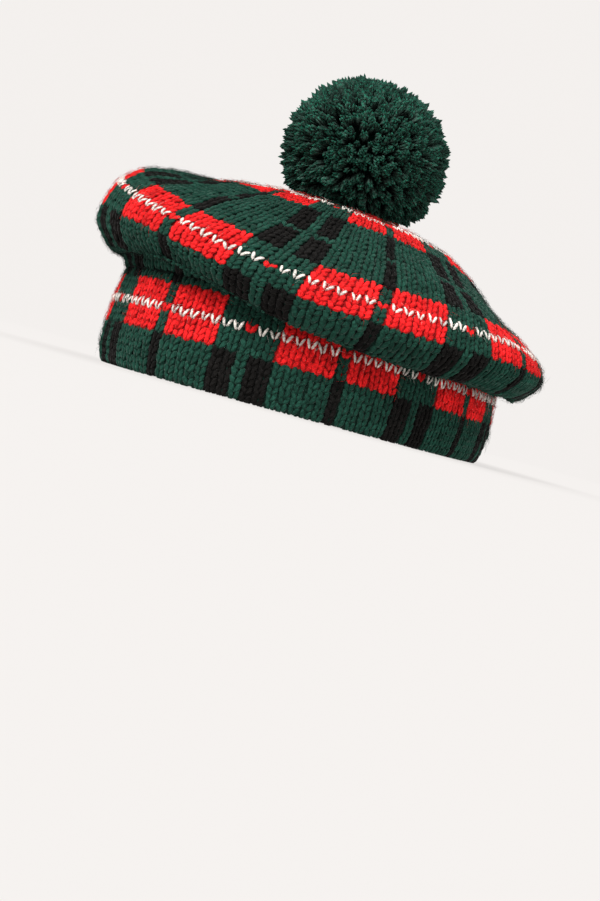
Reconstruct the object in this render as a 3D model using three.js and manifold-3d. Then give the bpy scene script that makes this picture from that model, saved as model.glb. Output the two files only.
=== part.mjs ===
// A knitted tam o'shanter: a turned-up headband, a wide slouching crown and a yarn pompom.
// Millimetres, +Z up. It stands on the rim of its band, with the side that shows at the front at -Y.
import * as THREE from "three";
import { mergeVertices } from "three/addons/utils/BufferGeometryUtils.js";
import Module from "manifold-3d";

// Driving sizes
const headWidth = 170; // opening, side to side
const headLength = 182; // opening, front to back
const bandHeight = 44;
const bandWall = 5; // the band is knitted double
const crownWall = 2.6; // one layer of worsted knit
const pieceGap = 0.3;
const eyeRadius = 2.6; // hole at the middle of the crown, for the pompom's tie
const crownTop = 87; // middle of the fabric at that hole
const crownLean = 4; // how far the middle of the crown lies towards +X of the band's
const pompomRadius = 39.5; // to the tips of its longest locks
const pompomCoreRadius = 32;
const pompomFlatten = 0.95; // it is wider than it is tall
const pompomSeatDrop = 33; // from the pompom's centre to its flattened base
const lockCount = 96;
const lockRoot = 14; // where a lock starts, from the pompom's centre
const lockRadius = 6; // at its widest
const lockSwell = 0.72; // how far along it that is
const lockUneven = 2.4; // how much shorter the shortest lock is

// How finely the forms are cut
const around = 80;
const lockSides = 5;

const bandColour = 0x0f4a38;
const crownColour = 0x0d4433;
const pompomColour = 0x0c5241;

// The band's outer face bulges above the rim and is nipped in below the crown.
const bandSection = [
  { height: 0, bulge: -1.6 },
  { height: 2, bulge: -0.4 },
  { height: 6, bulge: 0.9 },
  { height: 13, bulge: 1.6 },
  { height: 22, bulge: 1.2 },
  { height: 31, bulge: 0.2 },
  { height: 39, bulge: -0.8 },
  { height: bandHeight, bulge: -1.4 },
];
const rimRound = 1; // the inner edges of the band are eased by this much

// The crown through eight sections. Each pair is a distance from the axis and a height, taken along
// the fabric where it hangs under the edge, at the edge itself, at the second and third red stripes
// and half way between the two. The crown stands up at the left and the back, and slouches over the
// band at the front and the right.
const crownSections = [
  { bearing: 0, underOut: 99, underUp: 32, edgeOut: 107.5, edgeUp: 42, secondOut: 101, secondUp: 51,
    midOut: 77, midUp: 64, thirdOut: 54, thirdUp: 81 },
  { bearing: 45, underOut: 102, underUp: 39, edgeOut: 110, edgeUp: 49, secondOut: 104, secondUp: 61,
    midOut: 81, midUp: 76, thirdOut: 56, thirdUp: 87.5 },
  { bearing: 90, underOut: 104, underUp: 48, edgeOut: 111, edgeUp: 59, secondOut: 106, secondUp: 75,
    midOut: 84, midUp: 90, thirdOut: 57, thirdUp: 94 },
  { bearing: 135, underOut: 100, underUp: 52, edgeOut: 107, edgeUp: 65, secondOut: 102, secondUp: 83,
    midOut: 80, midUp: 95, thirdOut: 54, thirdUp: 95 },
  { bearing: 180, underOut: 97, underUp: 52, edgeOut: 105, edgeUp: 64, secondOut: 99, secondUp: 83,
    midOut: 77, midUp: 93.5, thirdOut: 55, thirdUp: 93 },
  { bearing: 225, underOut: 101, underUp: 46, edgeOut: 109, edgeUp: 55, secondOut: 106, secondUp: 67,
    midOut: 85, midUp: 82, thirdOut: 58, thirdUp: 90.5 },
  { bearing: 270, underOut: 107, underUp: 33, edgeOut: 115, edgeUp: 41, secondOut: 111.5, secondUp: 51,
    midOut: 88, midUp: 71, thirdOut: 60, thirdUp: 87.5 },
  { bearing: 315, underOut: 104, underUp: 31, edgeOut: 113, edgeUp: 40, secondOut: 108.5, secondUp: 51,
    midOut: 83, midUp: 67, thirdOut: 57, thirdUp: 84 },
];

// Stitch rows, counted from the seam, at which those sections are taken.
const courseAt = { seam: 0, crease: 2.2, under: 6, edge: 9.5, second: 14.5, mid: 23.5, third: 32.5,
  gather: 41.5, seat: 45.5, eye: 50 };
const creaseOut = 3.2; // the fabric rises out of the seam before it turns over
const creaseRise = 5.2;
const gatherOut = 28;
const gatherRise = 1.6;
const seatOut = 16; // inside this the crown is flat, and the pompom sits on it

// Soft hollows and swells of the crown: where each lies, how far it spreads and how deep it is.
const crownFolds = [
  { bearing: 238, span: 24, course: 7, reach: 4.5, depth: -4.5 },
  { bearing: 196, span: 26, course: 27, reach: 5, depth: -3.2 },
  { bearing: 205, span: 20, course: 18, reach: 4, depth: 1.6 },
  { bearing: 344, span: 9, course: 8, reach: 5, depth: -2.6 },
  { bearing: 18, span: 10, course: 9, reach: 6, depth: -2.2 },
  { bearing: 300, span: 16, course: 22, reach: 6, depth: 1.8 },
  { bearing: 262, span: 13, course: 24, reach: 6, depth: -1.6 },
  { bearing: 72, span: 12, course: 10, reach: 7, depth: -2.4 },
  { bearing: 118, span: 10, course: 11, reach: 8, depth: -2.2 },
  { bearing: 155, span: 9, course: 8, reach: 6, depth: -2.0 },
];

// Rows at which the crown's wall is cut into rings, closest together round its edge.
const crownRings = [0, 1.1, 2.2, 4, 6, 8, 9.8, 11.8, 14.5, 17.5, 20.5, 24, 28, 32.5, 37, 41.5, 45.5, 50];

const degrees = Math.PI / 180;

// Radius of an oval at a bearing.
function ovalRadius(halfWidth, halfLength, angle) {
  return 1 / Math.hypot(Math.cos(angle) / halfWidth, Math.sin(angle) / halfLength);
}

// A closed solid from rings of points: each ring joins the next, and the last joins the first.
function solidFromRings(rings) {
  const count = rings[0].length;
  const positions = rings.flat().flatMap((p) => [p.x, p.y, p.z]);
  const index = [];
  rings.forEach((ring, row) => {
    const next = (row + 1) % rings.length;
    for (let i = 0; i < count; i++) {
      const j = (i + 1) % count;
      const a = row * count + i;
      const b = row * count + j;
      const c = next * count + j;
      const d = next * count + i;
      index.push(a, b, c, a, c, d);
    }
  });
  const geometry = new THREE.BufferGeometry();
  geometry.setAttribute("position", new THREE.Float32BufferAttribute(positions, 3));
  geometry.setIndex(index);
  geometry.computeVertexNormals();
  return geometry;
}

function bearings() {
  return Array.from({ length: around }, (_, i) => (i / around) * 2 * Math.PI);
}

function ovalRing(inset, height) {
  return bearings().map((angle) => {
    const radius = ovalRadius(headWidth / 2, headLength / 2, angle) + inset;
    return new THREE.Vector3(radius * Math.cos(angle), radius * Math.sin(angle), height);
  });
}

// The band is swept round the head oval, up its outside and down its inside.
function headbandGeometry() {
  const outside = bandSection.map((row) => ovalRing(bandWall + row.bulge, row.height));
  const inside = [
    ovalRing(rimRound, bandHeight),
    ovalRing(0, bandHeight - rimRound),
    ovalRing(0, rimRound),
    ovalRing(rimRound, 0),
  ];
  return solidFromRings([...outside, ...inside]);
}

// A column of the crown's table at any bearing, by a closed curve through its eight rows.
function columnAt(column, angle) {
  const rows = crownSections.length;
  const place = (((angle / (2 * Math.PI)) % 1) + 1) % 1 * rows;
  const row = Math.floor(place);
  const t = place - row;
  const value = (step) => crownSections[(row + step + rows) % rows][column];
  const [before, from, to, after] = [value(-1), value(0), value(1), value(2)];
  const slopeFrom = (to - before) / 2;
  const slopeTo = (after - from) / 2;
  return hermite(from, to, slopeFrom, slopeTo, t);
}

function hermite(from, to, slopeFrom, slopeTo, t) {
  const t2 = t * t;
  const t3 = t2 * t;
  return from * (2 * t3 - 3 * t2 + 1) + slopeFrom * (t3 - 2 * t2 + t)
    + to * (3 * t2 - 2 * t3) + slopeTo * (t3 - t2);
}

// The points that one section of the crown passes through, from the seam to the eye.
function crownSection(angle) {
  const at = (column) => columnAt(column, angle);
  const seamOut = ovalRadius(headWidth / 2, headLength / 2, angle) + bandWall / 2;
  const seamUp = bandHeight + pieceGap;
  return [
    { course: courseAt.seam, out: seamOut, up: seamUp },
    { course: courseAt.crease, out: seamOut + creaseOut, up: seamUp + creaseRise },
    { course: courseAt.under, out: at("underOut"), up: at("underUp") },
    { course: courseAt.edge, out: at("edgeOut"), up: at("edgeUp") },
    { course: courseAt.second, out: at("secondOut"), up: at("secondUp") },
    { course: courseAt.mid, out: at("midOut"), up: at("midUp") },
    { course: courseAt.third, out: at("thirdOut"), up: at("thirdUp") },
    { course: courseAt.gather, out: gatherOut, up: crownTop + gatherRise },
    { course: courseAt.seat, out: seatOut, up: crownTop },
    { course: courseAt.eye, out: eyeRadius, up: crownTop },
  ];
}

// A smooth curve through the rows of a section, read at a course.
function alongSection(section, key, course) {
  const last = section.length - 1;
  let i = 0;
  while (i < last - 1 && course > section[i + 1].course) i++;
  const slope = (k) => {
    const low = section[Math.max(k - 1, 0)];
    const high = section[Math.min(k + 1, last)];
    return (high[key] - low[key]) / (high.course - low.course);
  };
  const from = section[i];
  const to = section[i + 1];
  const length = to.course - from.course;
  const t = (course - from.course) / length;
  return hermite(from[key], to[key], slope(i) * length, slope(i + 1) * length, t);
}

function foldDepth(angle, course) {
  return crownFolds.reduce((sum, fold) => {
    const turn = Math.abs(angle / degrees - fold.bearing);
    const apart = Math.min(turn, 360 - turn) / fold.span;
    const along = (course - fold.course) / fold.reach;
    return sum + fold.depth * Math.exp(-apart * apart - along * along);
  }, 0);
}

// The middle of the crown's fabric, moved by its folds and then by half a wall to either face.
function crownPoint(angle, course, side) {
  const section = crownSection(angle);
  const step = 0.05;
  const read = (key, c) => alongSection(section, key, THREE.MathUtils.clamp(c, 0, courseAt.eye));
  const atSeam = THREE.MathUtils.smoothstep(course, 0, courseAt.crease); // upright at the seam
  const runOut = (read("out", course + step) - read("out", course - step)) * atSeam;
  const runUp = read("up", course + step) - read("up", course - step);
  const run = Math.hypot(runOut, runUp);
  const atEye = 1 - THREE.MathUtils.smoothstep(course, courseAt.third, courseAt.gather);
  const shift = foldDepth(angle, course) * atSeam * atEye + side * crownWall / 2;
  const out = read("out", course) + shift * runUp / run;
  const up = read("up", course) - shift * runOut / run;
  const lean = crownLean * THREE.MathUtils.smoothstep(course, courseAt.edge, courseAt.third);
  return new THREE.Vector3(out * Math.cos(angle) + lean, out * Math.sin(angle), up);
}

function crownGeometry() {
  const face = (side) => crownRings.map((course) => bearings().map((a) => crownPoint(a, course, side)));
  return solidFromRings([...face(1), ...face(-1).reverse()]);
}

// Booleans
const wasm = await Module();
wasm.setup();

function toSolid(geometry) {
  const bare = geometry.clone();
  bare.deleteAttribute("normal");
  bare.deleteAttribute("uv");
  const merged = mergeVertices(bare, 1e-3);
  return new wasm.Manifold(new wasm.Mesh({
    numProp: 3,
    vertProperties: merged.attributes.position.array,
    triVerts: new Uint32Array(merged.index.array),
  }));
}

function toGeometry(solid) {
  const mesh = solid.getMesh();
  const geometry = new THREE.BufferGeometry();
  geometry.setAttribute("position", new THREE.BufferAttribute(mesh.vertProperties, 3));
  geometry.setIndex(new THREE.BufferAttribute(mesh.triVerts, 1));
  geometry.computeVertexNormals();
  return geometry;
}

// One lock of the pompom: a spindle that swells and then tapers to its tip.
function lockGeometry(length) {
  const profile = [
    new THREE.Vector2(0, 0),
    new THREE.Vector2(lockRadius, length * lockSwell),
    new THREE.Vector2(0, length),
  ];
  return new THREE.LatheGeometry(profile, lockSides).rotateX(Math.PI / 2);
}

// Locks stand all over a round core, evenly spread by the golden angle, and are fused to it.
function pompomGeometry() {
  const goldenAngle = Math.PI * (3 - Math.sqrt(5));
  let pompom = toSolid(new THREE.IcosahedronGeometry(pompomCoreRadius, 3));
  for (let i = 0; i < lockCount; i++) {
    const rise = 1 - (2 * (i + 0.5)) / lockCount;
    const ring = Math.sqrt(1 - rise * rise);
    const way = new THREE.Vector3(ring * Math.cos(i * goldenAngle), ring * Math.sin(i * goldenAngle), rise);
    const trim = lockUneven * (0.5 + 0.5 * Math.sin(i * 2.4)); // some locks are cut shorter than others
    const lock = lockGeometry(pompomRadius - trim - lockRoot);
    const turn = new THREE.Quaternion().setFromUnitVectors(new THREE.Vector3(0, 0, 1), way);
    const spin = new THREE.Quaternion().setFromAxisAngle(way, i);
    lock.applyQuaternion(spin.multiply(turn)).translate(...way.multiplyScalar(lockRoot).toArray());
    pompom = pompom.add(toSolid(lock));
  }
  const below = new THREE.CylinderGeometry(pompomRadius * 1.2, pompomRadius * 1.2, pompomRadius, 24);
  below.rotateX(Math.PI / 2).translate(0, 0, -pompomSeatDrop / pompomFlatten - pompomRadius / 2);
  return toGeometry(pompom.subtract(toSolid(below))).scale(1, 1, pompomFlatten);
}

// The tie runs from the pompom's base through the eye to a knot inside the crown.
function tieGeometry() {
  const cord = eyeRadius - crownWall / 2 - pieceGap * 2 + 1.2;
  const knotTop = -crownWall / 2 - pieceGap;
  const profile = [
    new THREE.Vector2(0, knotTop - 5),
    new THREE.Vector2(3, knotTop - 4.2),
    new THREE.Vector2(4.2, knotTop - 2.4),
    new THREE.Vector2(3.6, knotTop - 0.6),
    new THREE.Vector2(cord, knotTop),
    new THREE.Vector2(cord, crownWall / 2),
    new THREE.Vector2(0, crownWall / 2),
  ];
  return new THREE.LatheGeometry(profile, 12).rotateX(Math.PI / 2);
}

const hat = new THREE.Group();

function place(name, geometry, colour, across = 0, height = 0) {
  const material = new THREE.MeshStandardMaterial({ color: colour, roughness: 0.95, metalness: 0 });
  const mesh = new THREE.Mesh(geometry, material);
  mesh.name = name;
  mesh.position.set(across, 0, height);
  hat.add(mesh);
  return mesh;
}

place("headband", headbandGeometry(), bandColour);
place("crown", crownGeometry(), crownColour);
const pompomUp = crownTop + crownWall / 2 + pieceGap + pompomSeatDrop;
place("pompom", pompomGeometry(), pompomColour, crownLean, pompomUp);
place("pompom_tie", tieGeometry(), pompomColour, crownLean, crownTop);

// The frame's origin is under the middle of the whole hat, on the surface that it stands on.
const reach = new THREE.Box3().setFromObject(hat);
for (const mesh of hat.children) {
  mesh.position.x -= (reach.min.x + reach.max.x) / 2;
  mesh.position.y -= (reach.min.y + reach.max.y) / 2;
}

export default hat;
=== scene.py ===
import math
import bmesh
import bpy
import numpy as np
from mathutils import Matrix, Quaternion, Vector


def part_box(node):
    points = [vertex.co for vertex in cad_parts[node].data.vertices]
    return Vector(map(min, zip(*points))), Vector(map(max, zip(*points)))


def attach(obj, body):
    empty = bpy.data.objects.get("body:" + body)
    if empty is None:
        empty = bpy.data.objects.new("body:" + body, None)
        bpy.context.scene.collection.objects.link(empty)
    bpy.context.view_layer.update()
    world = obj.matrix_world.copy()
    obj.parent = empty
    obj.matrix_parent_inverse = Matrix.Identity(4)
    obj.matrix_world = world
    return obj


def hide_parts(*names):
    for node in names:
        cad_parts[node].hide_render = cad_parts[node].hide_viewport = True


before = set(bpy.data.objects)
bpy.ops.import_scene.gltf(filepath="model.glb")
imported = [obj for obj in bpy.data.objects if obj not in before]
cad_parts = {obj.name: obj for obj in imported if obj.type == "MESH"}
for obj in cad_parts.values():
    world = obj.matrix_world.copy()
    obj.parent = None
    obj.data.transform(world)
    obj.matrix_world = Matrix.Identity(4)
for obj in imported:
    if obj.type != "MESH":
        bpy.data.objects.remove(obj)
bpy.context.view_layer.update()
mm = 0.001

bandLow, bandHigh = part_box("headband")
hatCentre = (bandLow + bandHigh) / 2  # the axis of the band and the crown
axisPlace = np.array([hatCentre.x, hatCentre.y, 0])
pompomLow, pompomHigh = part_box("pompom")
floorGap = 0.00002  # metres, so that no yarn lies in the floor
print("frame loaded")


# Helpers for objects and shader nodes

def addObject(name, data):
    thing = bpy.data.objects.new(name, data)
    bpy.context.scene.collection.objects.link(thing)
    return thing


def newMaterial(name):
    material = bpy.data.materials.new(name)
    material.use_nodes = True
    tree = material.node_tree
    return material, tree, tree.nodes["Principled BSDF"]


def addNode(tree, kind, **settings):
    node = tree.nodes.new(kind)
    for name, value in settings.items():
        if hasattr(node, name):
            setattr(node, name, value)
        else:
            node.inputs[name].default_value = value
    return node


def objectNoise(tree, scale, detail):
    place = addNode(tree, "ShaderNodeTexCoord")
    noise = addNode(tree, "ShaderNodeTexNoise", Scale=scale, Detail=detail)
    tree.links.new(place.outputs["Object"], noise.inputs["Vector"])
    return noise.outputs["Fac"]


def mapRange(tree, source, fromRange, toRange, ease="LINEAR"):
    node = addNode(tree, "ShaderNodeMapRange", interpolation_type=ease)
    for label, level in zip(("From Min", "From Max", "To Min", "To Max"), (*fromRange, *toRange)):
        node.inputs[label].default_value = level
    tree.links.new(source, node.inputs["Value"])
    return node.outputs["Result"]


def multiply(tree, first, second):
    node = addNode(tree, "ShaderNodeMath", operation="MULTIPLY")
    tree.links.new(first, node.inputs[0])
    tree.links.new(second, node.inputs[1])
    return node.outputs["Value"]


def addBump(tree, shader, height, **settings):
    bump = addNode(tree, "ShaderNodeBump", **settings)
    tree.links.new(height, bump.inputs["Height"])
    tree.links.new(bump.outputs["Normal"], shader.inputs["Normal"])


# Camera and studio

shot = {
    "distance": 0.65,
    "lens": 56.1,
    "height": 0.008,  # the lens is low, just above the floor, and looks up
    "aim": (10.3, 0.0, -15.8),  # mm from the band's axis
    "clip": 0.004,  # the floor is this near at the foot of the frame
    "roll": 15.4,  # degrees, so the hat leans to the right
}


def setCamera(spec):
    data = bpy.data.cameras.new("shotCamera")
    data.lens = spec["lens"]
    data.clip_start = spec["clip"]
    camera = addObject("shotCamera", data)
    across, deep, up = spec["aim"]
    aim = Vector((hatCentre.x + across * mm, hatCentre.y + deep * mm, up * mm))
    camera.location = (aim.x, aim.y - spec["distance"], spec["height"])
    camera.rotation_mode = "QUATERNION"
    facing = (aim - camera.location).to_track_quat("-Z", "Y")
    camera.rotation_quaternion = facing @ Quaternion((0, 0, 1), math.radians(spec["roll"]))
    bpy.context.scene.camera = camera


studio = {
    "middleRadius": 0.3,
    "floorRadius": 3.0,
    "sweepRadius": 1.2,  # the floor curves up into the wall
    "wallHeight": 3.2,
    "turns": 96,  # faces round the floor
    "bends": 10,  # and up the sweep
    "paper": (1.0, 0.968, 0.945),  # tint of the floor and wall
    "albedo": (0.1, 0.02),  # of the floor and the wall
    "glow": (0.7, 0.885),
    "fade": (0.08, 0.2),  # metres from the hat, where the floor's look turns into the wall's
    "roughness": 0.95,
    "skyColour": (1.0, 0.985, 0.97),
    "skyStrength": 0.46,
    "lamps": [  # place, what it faces, size, watts
        ((-1.15, -1.55, 1.8), (0.0, 0.0, 0.06), 1.0, 76),
        ((1.5, -1.3, 0.9), (0.0, 0.0, 0.07), 1.2, 9),
        ((0.5, 1.5, 1.5), (0.0, 0.0, 0.1), 1.0, 16),
    ],
}


# Pale paper that glows a little more towards the wall, so floor and wall meet unseen.
def paperMaterial(spec):
    material, tree, shader = newMaterial("palePaper")
    place = addNode(tree, "ShaderNodeTexCoord")
    far = addNode(tree, "ShaderNodeVectorMath", operation="LENGTH")
    tree.links.new(place.outputs["Object"], far.inputs[0])
    albedo = mapRange(tree, far.outputs["Value"], spec["fade"], spec["albedo"], "SMOOTHSTEP")
    tint = addNode(tree, "ShaderNodeVectorMath", operation="SCALE")
    tint.inputs[0].default_value = spec["paper"]
    tree.links.new(albedo, tint.inputs["Scale"])
    tree.links.new(tint.outputs["Vector"], shader.inputs["Base Color"])
    glow = mapRange(tree, far.outputs["Value"], spec["fade"], spec["glow"], "SMOOTHSTEP")
    tree.links.new(glow, shader.inputs["Emission Strength"])
    shader.inputs["Emission Color"].default_value = (*spec["paper"], 1)
    shader.inputs["Roughness"].default_value = spec["roughness"]
    shader.inputs["Specular IOR Level"].default_value = 0.0
    return material


def studioFloor(spec):
    turns, bends = spec["turns"], spec["bends"]
    rings = [(spec["middleRadius"], 0.0), (spec["floorRadius"], 0.0)]
    for i in range(1, bends + 1):
        bend = math.radians(90 * i / bends)
        out = spec["floorRadius"] + spec["sweepRadius"] * math.sin(bend)
        rings.append((out, spec["sweepRadius"] * (1 - math.cos(bend))))
    rings.append((rings[-1][0], spec["wallHeight"]))
    verts = [(0.0, 0.0, 0.0)]
    for out, up in rings:
        for i in range(turns):
            a = 2 * math.pi * i / turns
            verts.append((out * math.cos(a), out * math.sin(a), up))
    faces = [(0, 1 + i, 1 + (i + 1) % turns) for i in range(turns)]
    for r in range(len(rings) - 1):
        low, high = 1 + r * turns, 1 + (r + 1) * turns
        for i in range(turns):
            j = (i + 1) % turns
            faces.append((low + i, high + i, high + j, low + j))
    mesh = bpy.data.meshes.new("studioFloor")
    mesh.from_pydata(verts, [], faces, shade_flat=False)
    mesh.materials.append(paperMaterial(spec))
    addObject("studioFloor", mesh)


def studioLight(spec):
    world = bpy.data.worlds.new("softSky")
    bpy.context.scene.world = world
    world.use_nodes = True
    sky = world.node_tree.nodes["Background"]
    sky.inputs["Color"].default_value = (*spec["skyColour"], 1)
    sky.inputs["Strength"].default_value = spec["skyStrength"]
    for number, (place, aim, size, watts) in enumerate(spec["lamps"]):
        lamp = bpy.data.lights.new(f"softbox{number}", "AREA")
        lamp.shape = "DISK"
        lamp.size = size
        lamp.energy = watts
        holder = addObject(f"softbox{number}", lamp)
        holder.location = place
        holder.rotation_mode = "QUATERNION"
        holder.rotation_quaternion = (Vector(aim) - Vector(place)).to_track_quat("-Z", "Y")
    bpy.context.scene.view_settings.view_transform = "Standard"


setCamera(shot)
studioFloor(studio)
studioLight(studio)
print("camera and studio set")


# The hat's form, in mm from the band's axis

bandShape = {
    "headWidth": 170,
    "headLength": 182,
    "height": 44,
    "wall": 5,
    "heights": [0, 2, 6, 13, 22, 31, 39, 44],
    "bulges": [-1.6, -0.4, 0.9, 1.6, 1.2, 0.2, -0.8, -1.4],  # beyond the wall
    "yarnInset": 0.95,  # from the band's faces to the middle of the yarn
    "foldStart": 3.4,  # the fabric starts to turn under at this height
    "foldBottom": 1.0,
    "insideDrop": 1,  # the inside ends this far below the top
    "outsideSteps": 40,  # points along the fabric
    "foldSteps": 12,
    "insideSteps": 30,
}

# Distance from the axis and height of the fabric at five places from the seam to the top, by bearing.
crownTable = np.array([
    # under     edge         second      middle    third
    [97, 33, 107.5, 42, 101, 51, 77, 64, 54, 81],  # right
    [100, 39, 110, 49, 104, 61, 81, 76, 56, 87.5],
    [104, 48, 111, 59, 106, 75, 84, 90, 57, 94],  # back
    [100, 52, 107, 65, 102, 83, 80, 95, 54, 95],
    [97, 52, 105, 64, 99, 83, 77, 93.5, 55, 93],  # left
    [101, 46, 109, 55, 106, 67, 85, 82, 58, 90.5],
    [105, 33.5, 115, 41, 111.5, 51, 88, 71, 60, 87.5],  # front
    [102, 32, 113, 40, 108.5, 51, 83, 67, 57, 84],
])

crownShape = {
    # seam, crease, under, edge, second, middle, third, gather, seat, eye
    "courses": np.array([0, 2.2, 6, 9.5, 14.5, 23.5, 32.5, 41.5, 45.5, 50]),
    "seamUp": 44.3,
    "creaseOut": 3.2,
    "creaseRise": 5.2,
    "gatherOut": 28,
    "gatherRise": 1.6,
    "seatOut": 16,
    "eyeRadius": 2.6,
    "top": 87,
    "lean": 4,
    "ripple": 0.35,  # how unevenly the knit lies
    "rippleWaves": [(7, 0.45, 0.0), (13, -0.7, 1.3)],  # waves in a round, turn in a course, start
}

# Bearing, spread in degrees, course, spread in courses and depth of each soft hollow or swell.
crownFolds = [
    (238, 24, 7, 4.5, -4.5),
    (196, 26, 27, 5, -3.2),
    (205, 20, 18, 4, 1.6),
    (344, 13, 8, 5, -1.4),
    (18, 12, 9, 6, -1.6),
    (300, 16, 22, 6, 1.8),
    (262, 13, 24, 6, -1.6),
    (72, 12, 10, 7, -2.4),
    (118, 10, 11, 8, -2.2),
    (155, 9, 8, 6, -2.0),
]


def smoothStep(at, low, high):
    t = np.clip((at - low) / (high - low), 0, 1)
    return t * t * (3 - 2 * t)


def hermite(start, end, slopeStart, slopeEnd, t):
    t2, t3 = t * t, t * t * t
    return (start * (2 * t3 - 3 * t2 + 1) + slopeStart * (t3 - 2 * t2 + t)
            + end * (3 * t2 - 2 * t3) + slopeEnd * (t3 - t2))


def alongKnots(knots, values, at):
    last = len(knots) - 1
    order = np.arange(last + 1)
    low, high = np.maximum(order - 1, 0), np.minimum(order + 1, last)
    slopes = (values[:, high] - values[:, low]) / (knots[high] - knots[low])
    i = np.clip(np.searchsorted(knots, at, side="right") - 1, 0, last - 1)
    row = np.arange(len(at))
    span = knots[i + 1] - knots[i]
    t = (at - knots[i]) / span
    return hermite(values[row, i], values[row, i + 1], slopes[row, i] * span, slopes[row, i + 1] * span, t)


def ovalRadius(angle):
    halfWidth, halfLength = bandShape["headWidth"] / 2, bandShape["headLength"] / 2
    return 1 / np.hypot(np.cos(angle) / halfWidth, np.sin(angle) / halfLength)


def crownSection(angle):
    rows = len(crownTable)
    place = (angle / (2 * math.pi)) % 1 * rows
    row = np.floor(place).astype(int)
    before, start, end, after = (crownTable[(row + k) % rows] for k in (-1, 0, 1, 2))
    read = hermite(start, end, (end - before) / 2, (after - start) / 2, (place - row)[:, None])
    seamOut = ovalRadius(angle) + bandShape["wall"] / 2
    same = np.ones_like(angle)
    s = crownShape
    outs = [seamOut, seamOut + s["creaseOut"], *read.T[0::2], s["gatherOut"] * same, s["seatOut"] * same,
            s["eyeRadius"] * same]
    ups = [s["seamUp"] * same, (s["seamUp"] + s["creaseRise"]) * same, *read.T[1::2],
           (s["top"] + s["gatherRise"]) * same, s["top"] * same, s["top"] * same]
    return np.stack(outs, 1), np.stack(ups, 1)


def foldDepth(angle, course):
    depth = np.zeros_like(angle)
    for bearing, spread, middle, reach, deep in crownFolds:
        turn = np.abs(np.degrees(angle) % 360 - bearing)
        apart = np.minimum(turn, 360 - turn) / spread
        depth += deep * np.exp(-apart ** 2 - ((course - middle) / reach) ** 2)
    return depth


def rippleDepth(angle, course):
    table = crownShape["rippleWaves"]
    waves = [np.sin(rounds * angle + turn * course + start) for rounds, turn, start in table]
    return crownShape["ripple"] * sum(waves) / len(waves)


# A point of the crown, lifted from the middle of its fabric.
def crownAt(wale, course, lift):
    angle = np.radians(waleBearing(wale, course))
    outs, ups = crownSection(angle)
    knots = crownShape["courses"]
    seam, crease, third, gather, eye = knots[0], knots[1], knots[6], knots[7], knots[-1]
    step = 0.05  # courses, to measure the slope
    ahead, behind = np.clip(course + step, seam, eye), np.clip(course - step, seam, eye)
    atSeam = smoothStep(course, seam, crease)
    runOut = (alongKnots(knots, outs, ahead) - alongKnots(knots, outs, behind)) * atSeam
    runUp = alongKnots(knots, ups, ahead) - alongKnots(knots, ups, behind)
    run = np.hypot(runOut, runUp)
    loose = atSeam * (1 - smoothStep(course, third, gather))
    shift = (foldDepth(angle, course) + rippleDepth(angle, course)) * loose + lift
    here = np.clip(course, seam, eye)
    out = alongKnots(knots, outs, here) + shift * runUp / run
    up = alongKnots(knots, ups, here) - shift * runOut / run
    lean = crownShape["lean"] * smoothStep(course, knots[3], third)
    return np.stack([out * np.cos(angle) + lean, out * np.sin(angle), up], 1)


def bandProfile():
    s = bandShape
    high = np.linspace(s["height"], s["foldStart"], s["outsideSteps"])
    heights, bulges = np.array(s["heights"], float), np.array(s["bulges"], float)
    bulge = alongKnots(heights, np.tile(bulges, (len(high), 1)), high)
    outside = np.stack([s["wall"] + bulge - s["yarnInset"], high], 1)[::-1]
    inner = s["yarnInset"]
    middle = (outside[0, 0] + inner) / 2
    wide, deep = (outside[0, 0] - inner) / 2, s["foldStart"] - s["foldBottom"]
    turn = np.linspace(math.pi, 0, s["foldSteps"] + 1)[1:-1]
    fold = np.stack([middle + wide * np.cos(turn), s["foldStart"] - deep * np.sin(turn)], 1)
    down = np.linspace(s["height"] - s["insideDrop"], s["foldStart"], s["insideSteps"])
    inside = np.stack([np.full(len(down), inner), down], 1)
    path = np.concatenate([inside, fold, outside])
    reach = np.concatenate([[0], np.cumsum(np.linalg.norm(np.diff(path, axis=0), axis=1))])
    bottom = len(inside) + len(fold) // 2
    return path, reach - reach[bottom]


bandPath, bandReach = bandProfile()  # from the inside, under the rim and up the outside


def bandRead(reach):
    return np.interp(reach, bandReach, bandPath[:, 0]), np.interp(reach, bandReach, bandPath[:, 1])


# A point of the band, at a distance up its outside from the rim, or up its inside where that is below zero.
def bandAt(wale, reach, lift):
    angle = np.radians(waleBearing(wale, np.zeros_like(reach)))
    step = 0.4  # mm, to measure the slope
    outAhead, upAhead = bandRead(reach + step)
    outBehind, upBehind = bandRead(reach - step)
    runOut, runUp = outAhead - outBehind, upAhead - upBehind
    run = np.maximum(np.hypot(runOut, runUp), 1e-6)
    wallOut, up = bandRead(reach)
    out = ovalRadius(angle) + wallOut + lift * runUp / run
    return np.stack([out * np.cos(angle), out * np.sin(angle), up - lift * runOut / run], 1)


# The knit: one repeat is charted, one letter for each stitch

yarnOrder = "gkrw"  # green, black, red and white

tartanChart = {
    "ground": "gggggkgggggkkgkk",
    "plain": "gggggggggggggggg",
    "stripe": "rrrrrgrrrrrggggg",
    "line": "wwwwwrwwwwwwwrww",
}
groundCourses = ["ground"] * 5 + ["plain"] + ["ground"] * 5
stripeCourses = ["stripe"] * 3 + ["line"] + ["stripe"] * 3

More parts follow.
